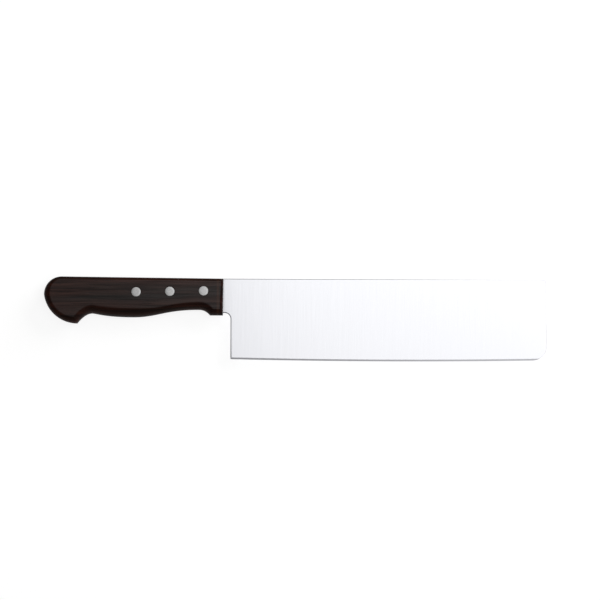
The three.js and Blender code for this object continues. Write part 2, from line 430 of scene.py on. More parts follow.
def settle(piece: Object, slot: Slot, *nodes: str) -> Object:
    """Put a finished piece in place of its solids.

    Args:
        piece: The finished piece.
        slot: Not used.
        nodes: The CAD nodes that it stands for.

    Returns:
        The same piece.
    """
    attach(piece, BODY)
    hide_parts(*nodes)
    return piece


# Materials


class Graph:
    """Adds and joins the nodes of one tree."""

    # A Mix node's sockets have the same names for values and colours, so they go by number.
    MIX_SHARE = 0
    MIX_VALUES = (2, 3)
    MIX_COLOURS = (6, 7)
    MIXED_VALUE = 0
    MIXED_COLOUR = 2

    def __init__(self, tree: NodeTree) -> None:
        """Start on an emptied tree."""
        self.tree = tree
        tree.nodes.clear()

    def feed(self, node: Node, inputs: Inputs) -> None:
        """Fill the sockets of a node.

        Args:
            node: The node.
            inputs: Values, colours or output sockets, by the name or number of the socket that takes them.
        """
        for name, value in inputs.items():
            socket = node.inputs[name]
            if isinstance(value, NodeSocket):
                self.tree.links.new(value, socket)
            else:
                socket.default_value = (*value, 1) if socket.type == "RGBA" else value

    def node(self, kind: str, inputs: Inputs | None = None, **settings: object) -> Node:
        """Add a node.

        Args:
            kind: The node's type.
            inputs: What its sockets take.
            settings: The node's own properties.

        Returns:
            The new node.
        """
        made = self.tree.nodes.new(kind)
        for name, value in settings.items():
            setattr(made, name, value)
        self.feed(made, inputs or {})
        return made

    def mixed(self, share: object, first: object, second: object) -> NodeSocket:
        """A colour between two others: the first at a share of 0 and the second at 1."""
        inputs = dict(zip((self.MIX_SHARE, *self.MIX_COLOURS), (share, first, second)))
        return self.node("ShaderNodeMix", inputs, data_type="RGBA").outputs[self.MIXED_COLOUR]

    def blended(self, share: object, first: object, second: object) -> NodeSocket:
        """A value between two others: the first at a share of 0 and the second at 1."""
        inputs = dict(zip((self.MIX_SHARE, *self.MIX_VALUES), (share, first, second)))
        return self.node("ShaderNodeMix", inputs, data_type="FLOAT").outputs[self.MIXED_VALUE]

    def math(self, operation: str, *values: object) -> NodeSocket:
        """The result of one operation on one or two values."""
        return self.node("ShaderNodeMath", dict(enumerate(values)), operation=operation).outputs[0]

    def ranged(
        self,
        value: object,
        start: float,
        end: float,
        limits: Sequence[object] = (0.0, 1.0),
        ease: Ease = Ease.STEADY,
    ) -> NodeSocket:
        """A value brought to another range.

        Args:
            value: The value.
            start: What it becomes at the first of its limits, and before it.
            end: What it becomes at the second, and past it.
            limits: Where its own range begins and ends.
            ease: How it goes from start to end.

        Returns:
            The new value's socket.
        """
        low, high = limits
        inputs = {"Value": value, "From Min": low, "From Max": high, "To Min": start, "To Max": end}
        return self.node("ShaderNodeMapRange", inputs, interpolation_type=ease.value).outputs[0]

    def ramp(self, value: object, levels: Sequence[Pair]) -> NodeSocket:
        """A grey level that follows a value.

        Args:
            value: The value, from 0 to 1.
            levels: Places on the ramp, rising, each with its level.

        Returns:
            The level's socket.
        """
        node = self.node("ShaderNodeValToRGB", {"Fac": value})
        stops = node.color_ramp.elements
        while len(stops) < len(levels):
            stops.new(1.0)
        for stop, (place, level) in zip(stops, levels):
            stop.position = place
            stop.color = (level, level, level, 1)
        return node.outputs["Color"]

    def group(self, tree: NodeTree, inputs: Inputs) -> NodeSocket:
        """Place a node group with its own values and give its first output."""
        return self.node("ShaderNodeGroup", inputs, node_tree=tree).outputs[0]


@dataclass
class SharedEffects:
    """The node groups that more than one finish uses."""

    streak_roughness: float = 0.6
    band_frequency: float = 420.0
    band_detail: float = 2.0
    noise_middle: float = 0.5
    streaks: NodeTree = field(init=False)
    worn_rim: NodeTree = field(init=False)

    def __post_init__(self) -> None:
        """Build the groups."""
        self.streaks = self.streak_group()
        self.worn_rim = self.banded_rim_group()

    @staticmethod
    def empty_group(
        name: str, vectors: Sequence[str], values: Sequence[str], output: str
    ) -> tuple[Graph, Mapping[str, NodeSocket]]:
        """A group with named sockets and nothing between them yet.

        Args:
            name: The group's name.
            vectors: The names of its inputs that take vectors.
            values: The names of those that take values.
            output: The name of its one output, a value.

        Returns:
            The group's graph, and the sockets that give its inputs, by name.
        """
        tree = bpy.data.node_groups.new(name, "ShaderNodeTree")
        for kind, sockets in (("NodeSocketVector", vectors), ("NodeSocketFloat", values)):
            for socket in sockets:
                tree.interface.new_socket(socket, in_out="INPUT", socket_type=kind)
        tree.interface.new_socket(output, in_out="OUTPUT", socket_type="NodeSocketFloat")
        graph = Graph(tree)
        return graph, graph.node("NodeGroupInput").outputs

    def streak_group(self) -> NodeTree:
        """Streaks of any length and fineness, as in wood grain, grinding lines and sanding marks.

        Returns:
            The group.
        """
        graph, given = self.empty_group(
            "streaks", ("Vector", "Frequency"), ("Detail", "Low", "High"), "Streak"
        )
        ends = {0: given["Vector"], 1: given["Frequency"]}
        drawn = graph.node("ShaderNodeVectorMath", ends, operation="MULTIPLY").outputs[0]
        kind = {"Scale": 1.0, "Detail": given["Detail"], "Roughness": self.streak_roughness}
        noise = graph.node("ShaderNodeTexNoise", {"Vector": drawn, **kind})
        streak = graph.ranged(noise.outputs["Fac"], 0.0, 1.0, (given["Low"], given["High"]))
        graph.node("NodeGroupOutput", {"Streak": streak})
        return graph.tree

    def banded_rim_group(self) -> NodeTree:
        """A band of a rounded rim: from a start on the rim outwards, with a broken border.

        Returns:
            The group.
        """
        graph, given = self.empty_group("worn_rim", ("Vector",), ("Start", "End", "Breakup"), "Wear")
        rim = graph.node("ShaderNodeAttribute", attribute_name=RIM)
        kind = {"Scale": self.band_frequency, "Detail": self.band_detail}
        noise = graph.node("ShaderNodeTexNoise", {"Vector": given["Vector"], **kind})
        centred = graph.math("SUBTRACT", noise.outputs["Fac"], self.noise_middle)
        ragged = graph.math("MULTIPLY", centred, given["Breakup"])
        place = graph.math("ADD", rim.outputs["Fac"], ragged)
        rim_band = graph.ranged(place, 0.0, 1.0, (given["Start"], given["End"]), Ease.SOFT)
        graph.node("NodeGroupOutput", {"Wear": rim_band})
        return graph.tree


class Surface:
    """A material to be filled, with its graph, its shader, its Object coordinates and the shared effects."""

    def __init__(self, name: str, effects: SharedEffects) -> None:
        """Start a material.

        Args:
            name: The material's name.
            effects: The shared node groups.
        """
        self.material = bpy.data.materials.new(name)
        self.material.use_nodes = True
        self.effects = effects
        self.graph = Graph(self.material.node_tree)
        self.shader = self.graph.node("ShaderNodeBsdfPrincipled")
        self.graph.node("ShaderNodeOutputMaterial", {"Surface": self.shader.outputs["BSDF"]})
        self.place = self.graph.node("ShaderNodeTexCoord").outputs["Object"]


@dataclass(frozen=True)
class Streaks:
    """One layer of streaks: how often they come along each axis, and between which limits they show."""

    frequency: Triple
    detail: float
    low: float
    high: float

    def on(self, surface: Surface, place: NodeSocket) -> NodeSocket:
        """The mask of the streaks on a surface, which follow the coordinates of a place."""
        kind = {"Frequency": self.frequency, "Detail": self.detail, "Low": self.low, "High": self.high}
        return surface.graph.group(surface.effects.streaks, {"Vector": place, **kind})


@dataclass(frozen=True)
class RimBand:
    """A band of a rim: from a share of it to another, and how broken the border is. It places the wood's dull
    and rubbed coat and the steel's shade colour, which on the squared steel is the lighter wall beside a
    painted dark reflection.
    """

    start: float
    end: float
    breakup: float

    def on(self, surface: Surface) -> NodeSocket:
        """The mask of the wear on a surface."""
        inputs = {"Vector": surface.place, "Start": self.start, "End": self.end, "Breakup": self.breakup}
        return surface.graph.group(surface.effects.worn_rim, inputs)


@dataclass(frozen=True)
class SteelFinish:
    """Bare steel with fine lines from grinding or sanding."""

    name: str
    colour: Triple
    shade: Triple
    roughness: float
    roughness_spread: float
    line_frequency: Triple
    line_depth: float
    line_detail: float = 3.0
    line_limits: Pair = (0.3, 0.7)
    line_strength: float = 0.3
    line_shade: float = 0.0
    # The shade colour comes in along the rim band and the lines. On the squared steel the base colour is a
    # painted dark reflection and the shade is the lighter wall; on the rivets the heads turn darker towards
    # their rims.
    rim_band: RimBand = RimBand(start=0.35, end=1.0, breakup=0.2)

    def material(self, effects: SharedEffects) -> Material:
        """Build the finish.

        Args:
            effects: The shared node groups.

        Returns:
            The material.
        """
        surface = Surface(self.name, effects)
        graph = surface.graph
        lines = Streaks(self.line_frequency, self.line_detail, *self.line_limits).on(surface, surface.place)
        darker = graph.math("MAXIMUM", self.rim_band.on(surface), graph.ranged(lines, 0.0, self.line_shade))
        spread = self.roughness_spread
        relief = {"Height": lines, "Strength": self.line_strength, "Distance": self.line_depth}
        finish = {
            "Base Color": graph.mixed(darker, self.colour, self.shade),
            "Roughness": graph.ranged(lines, self.roughness - spread, self.roughness + spread),
            "Normal": graph.node("ShaderNodeBump", relief).outputs[0],
            "Metallic": 1.0,
        }
        graph.feed(surface.shader, finish)
        return surface.material


@dataclass(frozen=True)
class WoodFinish:
    """Dark, close-grained wood: sealed on the flat, dull on the rim's shoulder, low in gloss below it."""

    name: str = "dark_wood"
    heart: Triple = (0.0120, 0.0055, 0.0046)
    brown: Triple = (0.0400, 0.0125, 0.0080)
    olive: Triple = (0.0135, 0.0080, 0.0059)
    ink: Triple = (0.0045, 0.0032, 0.0031)
    pore: Triple = (0.0020, 0.0014, 0.0012)
    drift: Streaks = Streaks(frequency=(9.0, 45.0, 45.0), detail=1.0, low=0.35, high=0.65)
    bands: Streaks = Streaks(frequency=(10.0, 150.0, 150.0), detail=2.0, low=0.36, high=0.66)
    fibres: Streaks = Streaks(frequency=(24.0, 760.0, 760.0), detail=3.0, low=0.40, high=0.72)
    pores: Streaks = Streaks(frequency=(90.0, 2600.0, 2600.0), detail=1.0, low=0.60, high=0.72)
    sway: Streaks = Streaks(frequency=(20.0, 20.0, 20.0), detail=1.0, low=0.0, high=1.0)
    sway_width: float = 0.0022
    plank_place: float = 0.14
    fibre_share: float = 0.80
    pore_share: float = 0.7
    pore_depth: float = 0.00003
    pore_strength: float = 0.4
    roughness: float = 0.55
    pore_roughness: float = 0.70
    specular: float = 0.02
    coat: float = 0.725
    streaked_coat: float = 0.56
    coat_roughness: float = 0.22
    dull: RimBand = RimBand(start=0.0, end=0.14, breakup=0.05)
    dull_coat: float = 0.02
    rubbed: RimBand = RimBand(start=0.15, end=1.0, breakup=0.05)
    rubbed_coat: float = 0.20
    # Painted highlight: a lighter, redder line across the scale, a little behind the handle's front.
    painted_highlight: Triple = (0.052, 0.021, 0.012)
    painted_highlight_share: float = 0.6
    painted_highlight_place: float = -0.0039
    painted_highlight_width: float = 0.0017

    def material(self, effects: SharedEffects, front: float) -> Material:
        """Build the finish.

        Args:
            effects: The shared node groups.
            front: Where the handle's front is along X. A lighter, redder line just behind it is a painted
                highlight.

        Returns:
            The material.
        """
        surface = Surface(self.name, effects)
        graph = surface.graph
        place = surface.place
        lift = graph.math("MULTIPLY", self.sway.on(surface, place), self.sway_width)
        shift = graph.node("ShaderNodeCombineXYZ", {"X": self.plank_place, "Y": lift})
        moved = graph.node("ShaderNodeVectorMath", {0: place, 1: shift.outputs[0]}, operation="ADD")
        layers = (self.drift, self.bands, self.fibres, self.pores)
        drift, bands, fibres, pores = (layer.on(surface, moved.outputs[0]) for layer in layers)
        dull = self.dull.on(surface)
        rubbed = self.rubbed.on(surface)

        # Painted highlight behind the front, where the rim there catches light; it fades where the rim is
        # rubbed.
        along = graph.node("ShaderNodeSeparateXYZ", {0: place}).outputs["X"]
        behind = graph.math("ABSOLUTE", graph.math("SUBTRACT", along, front + self.painted_highlight_place))
        highlight_mask = graph.ranged(behind, self.painted_highlight_share, 0.0, (0.0, self.painted_highlight_width), Ease.SOFT)
        highlight_mask = graph.math("MULTIPLY", highlight_mask, graph.math("SUBTRACT", 1.0, rubbed))

        figure = graph.mixed(bands, graph.mixed(drift, self.heart, self.olive), self.brown)
        figure = graph.mixed(graph.ranged(fibres, 0.0, self.fibre_share), figure, self.ink)
        figure = graph.mixed(graph.ranged(pores, 0.0, self.pore_share), figure, self.pore)
        coat = graph.math("MULTIPLY", graph.ranged(fibres, 1.0, 1 - self.streaked_coat), self.coat)
        coat = graph.blended(dull, coat, self.dull_coat)
        relief = {"Height": pores, "Strength": self.pore_strength, "Distance": self.pore_depth}
        finish = {
            "Base Color": graph.mixed(highlight_mask, figure, self.painted_highlight),
            "Roughness": graph.ranged(pores, self.roughness, self.pore_roughness),
            "Specular IOR Level": self.specular,
            "Coat Weight": graph.blended(rubbed, coat, self.rubbed_coat),
            "Coat Roughness": self.coat_roughness,
            "Normal": graph.node("ShaderNodeBump", relief, invert=True).outputs[0],
        }
        graph.feed(surface.shader, finish)
        return surface.material


# The knife


@dataclass(frozen=True)
class HandleShape:
    """The handle's outline and the scales' rounded rim, from the front of the handle and the spine.

    Each pull places a curve's control point, on level with one of its ends, as a share of the way to the
    other. The waist, where the rim is narrow again, is a share of the curve from belly to recess.
    """

    length: float = 0.13575
    front_height: float = 0.02795
    front_lean: float = 0.00035
    back_rise: float = 0.00125
    butt_radius: float = 0.0136
    hook_tip_reach: float = 0.0251
    hook_tip_depth: float = 0.0344
    crest_reach: float = 0.0366
    crest_depth: float = 0.02685
    belly_reach: float = 0.068
    belly_depth: float = 0.0296
    recess_reach: float = 0.0182
    recess_depth: float = 0.0238
    toe_length: float = 0.010
    hook_pull: float = 0.47
    crest_pull: float = 0.096
    belly_rear_pull: float = 0.706
    belly_front_pull: float = 0.361
    recess_pull: float = 0.522
    toe_pull: float = 0.585
    front_round: float = 0.0025
    front_back_round: float = 0.0019
    back_round: float = 0.002
    butt_round: float = 0.0049
    hook_round: float = 0.0059
    crest_round: float = 0.0072
    belly_round: float = 0.0079
    waist_round: float = 0.006
    recess_round: float = 0.0068
    toe_round: float = 0.0056
    waist: float = 0.55
    line_steps: int = 16
    curve_steps: int = 32

    def origin(self) -> Vector:
        """Read the knife's own origin from the solids.

        Returns:
            The point that the outlines are drawn from.
        """
        scale_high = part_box("right_scale")[1]
        steel_low, steel_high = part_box("blade")
        return Vector((scale_high.x, scale_high.y - self.back_rise, (steel_low.z + steel_high.z) / 2))

    def toe(self) -> Vector:
        """The rear end of the flat under the toe."""
        return Vector((-self.toe_length, -self.front_height))

    def lower_butt(self, butt_end: Vector, hook_tip: Vector) -> Curve:
        """The arc from the butt to the hook's tip, which it reaches on level.

        Args:
            butt_end: Where the arc starts.
            hook_tip: Where it ends.

        Returns:
            The arc.
        """
        rise = butt_end.y - hook_tip.y
        radius = (butt_end - hook_tip).length_squared / (2 * rise)
        straight_down = 1.5 * math.pi
        start = straight_down - math.acos(1 - rise / radius)
        return arc(hook_tip + Vector((0, radius)), radius, start, straight_down)

    def stretches(self) -> list[Stretch]:
        """Draw the outline.

        Returns:
            Its runs, counter-clockwise from the toe's front corner.
        """
        butt = -self.length
        toe = self.toe()
        toe_front = Vector((-self.front_lean, -self.front_height))
        back_front = Vector((0, 0))
        back_end = Vector((butt + self.butt_radius, self.back_rise))
        butt_end = Vector((butt, self.back_rise - self.butt_radius))
        hook_tip = Vector((butt + self.hook_tip_reach, -self.hook_tip_depth))
        crest = Vector((butt + self.crest_reach, -self.crest_depth))
        belly = Vector((-self.belly_reach, -self.belly_depth))
        recess = Vector((-self.recess_reach, -self.recess_depth))

        def level(start: Vector, end: Vector, share: float) -> Vector:
            """A point on level with one end of a run, a share of the way to its other end."""
            return Vector((start.x + (end.x - start.x) * share, start.y))

        upper_butt = arc(Vector((back_end.x, butt_end.y)), self.butt_radius, math.pi / 2, math.pi)
        hook = bezier(hook_tip, level(crest, hook_tip, self.hook_pull), crest)
        rear_belly = bezier(
            crest, level(crest, belly, self.crest_pull), level(belly, crest, self.belly_rear_pull), belly
        )
        front_belly = bezier(
            belly, level(belly, recess, self.belly_front_pull), level(recess, belly, self.recess_pull), recess
        )
        throat = bezier(recess, level(recess, toe, self.toe_pull), toe)
        runs = (
            ("front", line(toe_front, back_front), self.line_steps, self.front_round),
            ("back", line(back_front, back_end), self.line_steps, self.front_back_round),
            ("upper_butt", upper_butt, self.curve_steps, self.back_round),
            ("lower_butt", self.lower_butt(butt_end, hook_tip), self.curve_steps, self.butt_round),
            ("hook", hook, self.curve_steps, self.hook_round),
            ("rear_belly", rear_belly, self.curve_steps, self.crest_round),
            ("front_belly", part_of(front_belly, 0, self.waist), self.curve_steps, self.belly_round),
            ("waist", part_of(front_belly, self.waist, 1), self.curve_steps, self.waist_round),
            ("toe_throat", throat, self.curve_steps, self.recess_round),
            ("under_toe", line(toe, toe_front), self.line_steps, self.toe_round),
        )
        return chained(runs, self.toe_round)


@dataclass(frozen=True)
class RivetShape:
    """Three two-part rivets: a post that is driven into a sleeve, each with a flat head."""

    names: tuple[str, ...] = ("front", "middle", "rear")
    reach: float = 0.0148
    pitch: float = 0.0255
    depth: float = 0.00925
    drop: float = 0.00045
    head_diameter: float = 0.0071
    head_thickness: float = 0.0022
    sleeve_diameter: float = 0.0048
    post_diameter: float = 0.003
    clearance: float = 0.00005
    end_gap: float = 0.0006
    head_ease: float = 0.00022
    ease_steps: int = 5
    crown: float = 0.000012
    sink_width: float = 0.00018
    facets: int = 64

    def places(self) -> list[Vector]:
        """Points on the rivets' axes, front to rear, from the knife's own origin."""
        numbers = range(len(self.names))
        return [Vector((-self.reach - i * self.pitch, -self.depth - i * self.drop, 0)) for i in numbers]


@dataclass
class Blade:
    """Blade and full tang: a plate that is cut out, drilled, ground to a taper and sharpened."""

    handle: HandleShape
    rivets: RivetShape
    thickness: float = 0.002
    length: float = 0.240
    height: float = 0.061
    edge_belly: float = 0.0012
    tip_radius: float = 0.0105
    tip_spine_radius: float = 0.002
    tip_setback: float = 0.0009
    neck_length: float = 0.00555
    neck_depth: float = 0.026
    choil_radius: float = 0.0045
    shoulder_setback: float = 0.001
    spine_end_share: float = 0.125  # of the neck's length
    behind_edge: float = 0.0007
    bevel_angle: float = math.radians(14)
    apex_width: float = 0.00006
    # Where the grind runs out under the scales, and how it is dished beside them
    run_out: Pair = (-0.008, -0.001)
    run_out_cuts: int = 6
    spine_dish: float = 0.000012
    neck_dish: float = 0.00009
    dish_reach: float = 0.0025
    dish_cuts: tuple[float, ...] = (0.0, 0.0006, 0.0012, 0.002, 0.003, 0.0042, 0.0058, 0.008, 0.011)
    # Widths of the eased edges, their steps, and the strip of flat that borders them
    spine_ease: float = 0.00045
    neck_ease: float = 0.0007
    heel_ease: float = 0.0006
    tip_ease: float = 0.00012
    tang_ease: float = 0.0001
    ease_steps: int = 9
    flat_margin: float = 0.0004
    # Stations along each run of the outline
    toe_steps: int = 6
    shoulder_steps: int = 2
    neck_steps: int = 4
    choil_steps: int = 20
    heel_steps: int = 3
    foot_steps: int = 1
    edge_steps: int = 80
    lower_tip_steps: int = 32
    tip_steps: int = 16
    upper_tip_steps: int = 12
    spine_steps: int = 60
    spine_end_steps: int = 3
    # What counts as the sharpened edge, and what is shaded as an edge
    honed_height: float = 0.00305
    honed_angle: float = math.radians(21)
    smooth_angle: float = math.radians(12.5)

    @property
    def half(self) -> float:
        """Half the thickness of the plate."""
        return self.thickness / 2

    @property
    def taper(self) -> float:
        """How fast each flank thins from the spine to the edge."""
        return (self.half - self.behind_edge / 2) / self.height

    def edge_y(self, x: float) -> float:
        """The height of the cutting edge: a shallow arc through heel and tip.

        Args:
            x: How far the place is from the front of the handle.

        Returns:
            The height, which is below the spine and so negative.
        """
        radius = (self.length**2 / 4 + self.edge_belly**2) / (2 * self.edge_belly)
        across = x - self.neck_length - self.length / 2
        return radius - self.height - self.edge_belly - math.sqrt(radius**2 - across**2)

    def flank(self, at: Vector) -> float:
        """Half the ground thickness at a point.

        The blade thins from spine to edge, is dished a little where the wheel runs up to the handle, and
        comes back to the plate's full thickness under the front of the scales.

        Args:
            at: The point, from the knife's own origin.

        Returns:
            The height of the right flank above the middle of the steel.
        """
        start, end = self.run_out
        ground = softened(min(max((at.x - start) / (end - start), 0.0), 1.0))
        depth = max(-at.y, 0.0)
        dish = self.spine_dish + self.neck_dish * min(depth / self.neck_depth, 1.0) ** 2
        dish *= math.exp(-max(at.x, 0.0) / self.dish_reach)
        return self.half - (self.taper * depth + dish) * ground

    def bevel(self, at: Vector) -> float:
        """Half the thickness that sharpening would leave at a point."""
        return self.apex_width / 2 + (at.y - self.edge_y(at.x)) * math.tan(self.bevel_angle)

    def grind(self, piece: Object, origin: Vector, reach: float) -> None:
        """Cut loops across a piece, then thin it along with the steel.

        Args:
            piece: The plate, or a scale that lies on it.
            origin: The knife's own origin in the piece's frame.
            reach: The height above the middle of the steel up to which the piece follows the flank.
        """
        start, end = self.run_out
        steps = [start + (end - start) * cut / self.run_out_cuts for cut in range(self.run_out_cuts + 1)]
        with editing(piece):
            for x in (*steps, *self.dish_cuts):
                bpy.ops.mesh.select_all(action="SELECT")
                bpy.ops.mesh.bisect(plane_co=origin + Vector((x, 0, 0)), plane_no=(1, 0, 0))
            mesh = bmesh.from_edit_mesh(piece.data)
            for vertex in mesh.verts:
                at = vertex.co - origin
                if abs(at.z) <= reach:
                    vertex.co.z = origin.z + at.z * self.flank(at) / self.half
            bmesh.update_edit_mesh(piece.data)

    def stretches(self) -> list[Stretch]:
        """Draw the outline: the tang within the scales, then neck, choil, heel, edge, tip and spine.

        Returns:
            Its runs, counter-clockwise from the back of the handle.
        """
        heel_x = self.neck_length
        tip_x = heel_x + self.length
        edge_end = tip_x - self.tip_radius
        toe = self.handle.toe()
        shoulder_low = Vector((-self.shoulder_setback, toe.y))
        shoulder = Vector((-self.shoulder_setback, -self.neck_depth))
        heel = Vector((heel_x, self.edge_y(heel_x)))
        foot = heel + Vector((0, self.behind_edge / 2 / math.tan(self.bevel_angle)))
        tip = Vector((tip_x, self.edge_y(tip_x)))
        tip_spine = Vector((tip_x - self.tip_setback, 0))
        spine_end = Vector((heel_x * self.spine_end_share, 0))
        spine_start = Vector((0, 0))

        def edge(t: float) -> Vector:
            """A point along the cutting edge."""
            x = heel_x + (edge_end - heel_x) * t
            return Vector((x, self.edge_y(x)))

        choil = rounded_corner(shoulder, Vector((heel_x, -self.neck_depth)), heel, self.choil_radius)
        lower_tip = rounded_corner(edge(1), tip, tip_spine, self.tip_radius)
        upper_tip = rounded_corner(tip, tip_spine, spine_start, self.tip_spine_radius)
        covered = [
            (run.name, run.curve, run.steps, self.tang_ease)
            for run in self.handle.stretches()
            if run.name not in ("front", "under_toe")
        ]
        bare = [
            ("under_toe", line(toe, shoulder_low), self.toe_steps, self.tang_ease),
            ("shoulder", line(shoulder_low, shoulder), self.shoulder_steps, self.tang_ease),
            ("neck", line(shoulder, choil(0)), self.neck_steps, self.neck_ease),
            ("choil", choil, self.choil_steps, self.neck_ease),
            ("heel", line(choil(1), foot), self.heel_steps, self.heel_ease),
            ("foot", line(foot, heel), self.foot_steps, self.heel_ease),
            ("edge", edge, self.edge_steps, self.heel_ease),
            ("lower_tip", lower_tip, self.lower_tip_steps, self.tip_ease),
            ("tip", line(lower_tip(1), upper_tip(0)), self.tip_steps, self.tip_ease),
            ("upper_tip", upper_tip, self.upper_tip_steps, self.tip_ease),
            ("spine", line(upper_tip(1), spine_end), self.spine_steps, self.tip_ease),
            ("spine_end", line(spine_end, spine_start), self.spine_end_steps, self.spine_ease),
        ]
        return chained(covered + bare, self.tang_ease)

    def section(self, station: Station) -> list[Vector]:
        """The right half of the steel's section at a point of the outline, from the wall to the flank.

        The plate is still flat here, so heights are given as they are before grinding.

        Args:
            station: The point of the outline.

        Returns:
            One point for each ring, drawn from the knife's own origin.
        """
        inward = station.inset.normalized()
        missing = self.flank(station.at) - self.bevel(station.at)
        sharpened = missing > 0 and inward.y > 0
        inset = station.inset
        if sharpened:
            reach = missing / (math.tan(self.bevel_angle) - self.taper)
            inset = Vector((inset.x if station.stretch == "edge" else inward.x * reach, reach))
        points = []
        for step, (share, lower) in enumerate(quarter_round(self.ease_steps)):
            at = station.at + inset * (step / self.ease_steps if sharpened else share)
            height = self.half - station.width * lower
            if sharpened:
                height = self.half * self.bevel(at) / self.flank(at)
            points.append(Vector((at.x, at.y, min(height, self.half))))
        inner = station.at + inset + inward * self.flat_margin
        return points + [Vector((inner.x, inner.y, self.half))]

    def cut_out(self) -> Object:
        """Make the plate with its eased and sharpened outline.

        Returns:
            The plate, drawn from the knife's own origin.
        """
        sections = [self.section(station) for station in stations_along(self.stretches())]
        right = [list(ring) for ring in zip(*sections)]
        left = [[Vector((p.x, p.y, -p.z)) for p in ring] for ring in reversed(right)]
        rims = [*rim_shares(self.ease_steps), 0.0]
        return extruded_rings("blade_and_tang", left + right, rims[::-1] + rims)

    def dress(self, plate: Object, origin: Vector, finishes: Sequence[Material]) -> None:
        """Give flanks, sharpened edge and squared-off outline their finishes.

        Args:
            plate: The finished plate.
            origin: The knife's own origin.
            finishes: The material of each kind of face, in the order of SteelFace.
        """
        for finish in finishes:
            plate.data.materials.append(finish)
        rim = plate.data.attributes[RIM].data
        for face in plate.data.polygons:
            at = face.center - origin
            near_edge = at.x > self.neck_length and at.y < self.edge_y(at.x) + self.honed_height
            honed = near_edge and abs(face.normal.z) > math.cos(self.honed_angle)
            if max(rim[corner].value for corner in face.vertices) > 0:
                face.material_index = SteelFace.EDGE if honed else SteelFace.OUTLINE

    def build(self, finishes: Sequence[Material]) -> Object:
        """Make the piece.

        Args:
            finishes: The material of each kind of face, in the order of SteelFace.

        Returns:
            The blade with its tang.
        """
        origin = self.handle.origin()
        plate = self.cut_out()
        self.grind(plate, Vector((0, 0, 0)), self.thickness)
        radius = self.rivets.sleeve_diameter / 2 + self.rivets.clearance
        for place in self.rivets.places():
            ends = [(radius, -self.thickness), (radius, self.thickness)]
            drill(plate, turned("bit", ends, (0, 0), place, self.rivets.facets))
        plate.data.transform(Matrix.Translation(origin))
        smooth(plate, self.smooth_angle)
        self.dress(plate, origin, finishes)
        return settle(plate, Slot.STEEL, "blade")


@dataclass
class Scales:
    """The two handle scales: slabs on the tang with a rounded rim, counterbored for the rivets' heads."""

    handle: HandleShape
    rivets: RivetShape
    blade: Blade
    thickness: float = 0.008
    seam: float = 0.00012
    rim_wall: float = 0.0004
    rim_steps: int = 18
    flat_margin: float = 0.0004
    smooth_angle: float = math.radians(30)

    @property
    def top(self) -> float:
        """The outer face's height above the middle of the steel."""
        return self.blade.half + self.thickness

    def slab(self) -> Object:
        """Make the right scale.

        Returns:
            The scale before it is drilled.
        """
        stations = stations_along(self.handle.stretches())
        origin = self.handle.origin()
        bottom = self.blade.half
        deepest = self.thickness - self.rim_wall

        def ring(share: Callable[[Station], float], height: Callable[[Station], float]) -> list[Vector]:
            """One ring, at a share of the step in and at a height."""
            outline = [(s, s.at + s.inset * share(s)) for s in stations]
            return [origin + Vector((at.x, at.y, height(s))) for s, at in outline]

        rings = [
            ring(lambda s: self.seam / s.width, lambda s: bottom),
            ring(lambda s: 0.0, lambda s: bottom + self.seam),
            *(
                ring(lambda s: share, lambda s: self.top - min(s.drop, deepest) * lower)
                for share, lower in quarter_round(self.rim_steps)
            ),
            ring(lambda s: 1 + self.flat_margin / s.width, lambda s: self.top),
        ]
        return extruded_rings("right_scale_wood", rings, [1.0, 1.0, *rim_shares(self.rim_steps), 0.0])

    def bit(self, place: Vector) -> Object:
        """The drill for one rivet: a hole, a counterbore and a slight countersink.

        Args:
            place: A point on the rivet's axis, from the knife's own origin.

        Returns:
            The drill's body.
        """
        rivets = self.rivets
        hole = rivets.sleeve_diameter / 2 + rivets.clearance
        bore = rivets.head_diameter / 2 + rivets.clearance
        seat = self.top - rivets.head_thickness
        profile = [
            (hole, 0.0),
            (hole, seat),
            (bore, seat),
            (bore, self.top - rivets.sink_width),
            (bore + 2 * rivets.sink_width, self.top + rivets.sink_width),
        ]
        return turned("bit", profile, [0.0] * len(profile), self.handle.origin() + place, rivets.facets)

    def build(self, wood: Material) -> list[Object]:
        """Make both scales.

        Args:
            wood: Their material.

        Returns:
            The right scale and the left one.
        """
        right = self.slab()
        self.blade.grind(right, self.handle.origin(), self.blade.half + self.seam)
        for place in self.rivets.places():
            drill(right, self.bit(place))
        right.data.materials.append(wood)
        smooth(right, self.smooth_angle)
        left = mirrored(right, "left_scale_wood", self.handle.origin())
        return [settle(right, Slot.WOOD, "right_scale"), settle(left, Slot.WOOD, "left_scale")]


